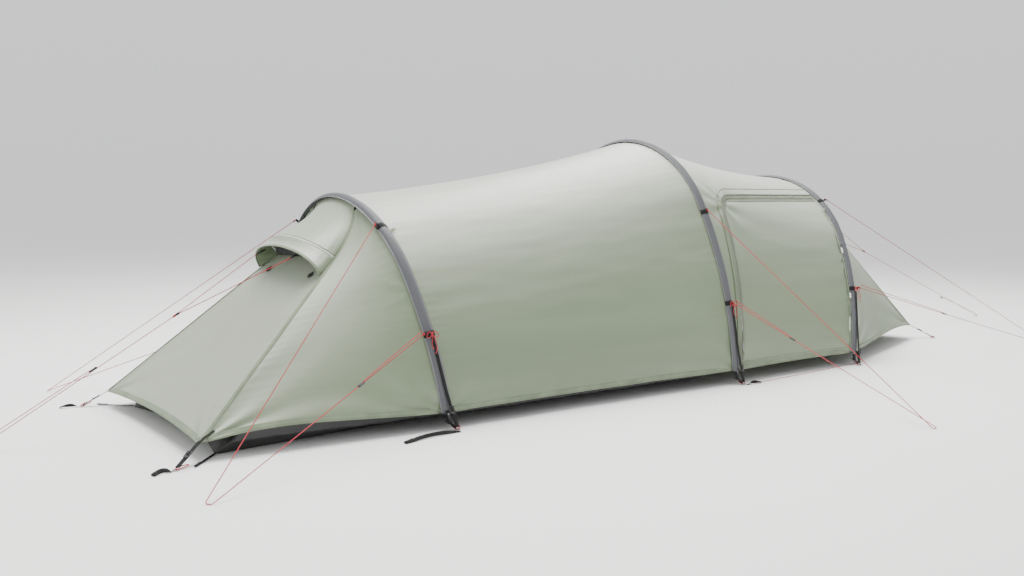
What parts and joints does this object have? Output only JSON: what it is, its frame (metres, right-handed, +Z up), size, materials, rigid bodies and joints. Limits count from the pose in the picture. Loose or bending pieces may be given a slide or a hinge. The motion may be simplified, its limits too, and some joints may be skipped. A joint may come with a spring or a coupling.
{
  "type": "three-hoop tunnel tent",
  "caption": "Low tunnel tent on bent pole hoops in outside sleeves, with sloping ends, vent hoods, a side door into a porch, an inner tent, guy lines and peg rings.",
  "frame": {"origin": "centre of the box around the tent without its free lines, at ground level", "axes": "+X along the tent towards the porch end, +Y to the side away from the door, +Z up"},
  "size_m": [6.3213, 3.3232, 1.1135],
  "materials": {
    "fly_cloth": "coated ripstop, soft sheen",
    "inner_cloth": "thin breathable weave",
    "sleeve_cloth": "matt grey weave",
    "pole_alloy": "anodised",
    "shock_cord": "braided elastic",
    "guy_cord": "braided",
    "black_plastic": "moulded",
    "pale_plastic": "moulded",
    "webbing": "woven webbing",
    "groundsheet": "coated",
    "vent_mesh": "fine mesh",
    "hook_loop": "hook and loop",
    "zip_tape": "woven tape",
    "zip_metal": "painted",
    "ring_steel": "plain"
  },
  "bodies": {
    "tent": {"hoop_1_pole": "pole_alloy", "hoop_1_sleeve": "sleeve_cloth", "hoop_2_pole": "pole_alloy", "hoop_2_sleeve": "sleeve_cloth", "hoop_3_pole": "pole_alloy", "hoop_3_sleeve": "sleeve_cloth", "pole_ferrules": "pole_alloy", "sleeve_bands": "webbing", "pole_cups": "black_plastic", "fly_main_panel": "fly_cloth", "fly_porch_panel": "fly_cloth", "door_zip_tape": "zip_tape", "rain_flap": "fly_cloth", "left_top_panel": "fly_cloth", "left_hood": "fly_cloth", "left_centre_panel": "fly_cloth", "left_side_panels": "fly_cloth", "right_top_panel": "fly_cloth", "right_hood": "fly_cloth", "right_centre_panel": "fly_cloth", "right_side_panels": "fly_cloth", "vent_meshes": "vent_mesh", "groundsheet": "groundsheet", "inner_canopy": "inner_cloth", "inner_end_wall": "inner_cloth", "inner_door_wall": "inner_cloth", "inner_hangers": "webbing", "hoop_1_guy_front": "guy_cord", "hoop_1_guy_back": "guy_cord", "hoop_2_guy_front": "guy_cord", "hoop_2_guy_back": "guy_cord", "hoop_3_guy_front": "guy_cord", "hoop_3_guy_back": "guy_cord", "left_end_bridle": "guy_cord", "left_end_guy": "guy_cord", "right_end_bridle": "guy_cord", "right_end_guy": "guy_cord", "base_cord_front": "guy_cord", "base_cord_back": "guy_cord", "pole_shock_cords": "shock_cord", "peg_rings": "ring_steel", "foot_straps": "webbing", "corner_straps": "webbing", "strap_buckles": "black_plastic", "vent_patches": "hook_loop", "vent_tabs": "webbing"},
    "door": {"side_door": "fly_cloth"},
    "zip_low": {"zip_slider_low": "zip_metal"},
    "zip_top": {"zip_slider_top": "zip_metal"},
    "inner_door_body": {"inner_door": "inner_cloth"},
    "toggle_upper_body": {"toggle_upper": "pale_plastic"},
    "toggle_lower_body": {"toggle_lower": "pale_plastic"},
    "runner_1_front_body": {"runner_1_front": "black_plastic"},
    "runner_1_back_body": {"runner_1_back": "black_plastic"},
    "runner_2_front_body": {"runner_2_front": "black_plastic"},
    "runner_2_back_body": {"runner_2_back": "black_plastic"},
    "runner_3_front_body": {"runner_3_front": "black_plastic"},
    "runner_3_back_body": {"runner_3_back": "black_plastic"},
    "runner_left_end_body": {"runner_left_end": "black_plastic"},
    "runner_right_end_body": {"runner_right_end": "black_plastic"}
  },
  "joints": [
    {"name": "door_swing", "type": "hinge", "parent": "tent", "child": "door", "pos_m": [1.06107, -0.7518, 0.09308], "axis": [0.1384, 0.38, 0.9146], "range_deg": [0, 95]},
    {"name": "zip_low_travel", "type": "hinge", "parent": "tent", "child": "zip_low", "pos_m": [0.24109, 1.00758, -0.00791], "axis": [-0.9934, 0, 0.1144], "range_deg": [-2.5, 16]},
    {"name": "zip_top_travel", "type": "hinge", "parent": "tent", "child": "zip_top", "pos_m": [1.43685, -6.71781, 0.833], "axis": [0, 0, 1], "range_deg": [-0.4, 5]},
    {"name": "inner_door_swing", "type": "hinge", "parent": "tent", "child": "inner_door_body", "pos_m": [0.13134, 0.3, 0.4], "axis": [-0.0506, 0, 0.9987], "range_deg": [0, 100]},
    {"name": "toggle_upper_swing", "type": "hinge", "parent": "tent", "child": "toggle_upper_body", "pos_m": [1.13736, -0.55757, 0.57767], "axis": [-0.9888, 0, 0.1495], "range_deg": [0, 70]},
    {"name": "toggle_lower_swing", "type": "hinge", "parent": "tent", "child": "toggle_lower_body", "pos_m": [1.10386, -0.63803, 0.35611], "axis": [-0.9888, 0, 0.1495], "range_deg": [0, 70]},
    {"name": "runner_1_front_slide", "type": "slide", "parent": "tent", "child": "runner_1_front_body", "axis": [0.8704, 0.3648, 0.3305], "range_m": [-0.2, 0.25]},
    {"name": "runner_1_back_slide", "type": "slide", "parent": "tent", "child": "runner_1_back_body", "axis": [0.8596, -0.3931, 0.3265], "range_m": [-0.2, 0.25]},
    {"name": "runner_2_front_slide", "type": "slide", "parent": "tent", "child": "runner_2_front_body", "axis": [0.0596, 0.9384, 0.3404], "range_m": [-0.2, 0.25]},
    {"name": "runner_2_back_slide", "type": "slide", "parent": "tent", "child": "runner_2_back_body", "axis": [0.0596, -0.9384, 0.3404], "range_m": [-0.2, 0.25]},
    {"name": "runner_3_front_slide", "type": "slide", "parent": "tent", "child": "runner_3_front_body", "axis": [-0.9308, 0.2515, 0.2652], "range_m": [-0.2, 0.25]},
    {"name": "runner_3_back_slide", "type": "slide", "parent": "tent", "child": "runner_3_back_body", "axis": [-0.9308, -0.2515, 0.2652], "range_m": [-0.2, 0.25]},
    {"name": "runner_left_end_slide", "type": "slide", "parent": "tent", "child": "runner_left_end_body", "axis": [0.8578, 0, 0.5139], "range_m": [-0.2, 0.25]},
    {"name": "runner_right_end_slide", "type": "slide", "parent": "tent", "child": "runner_right_end_body", "axis": [-0.9424, 0, 0.3345], "range_m": [-0.2, 0.25]}
  ]
}
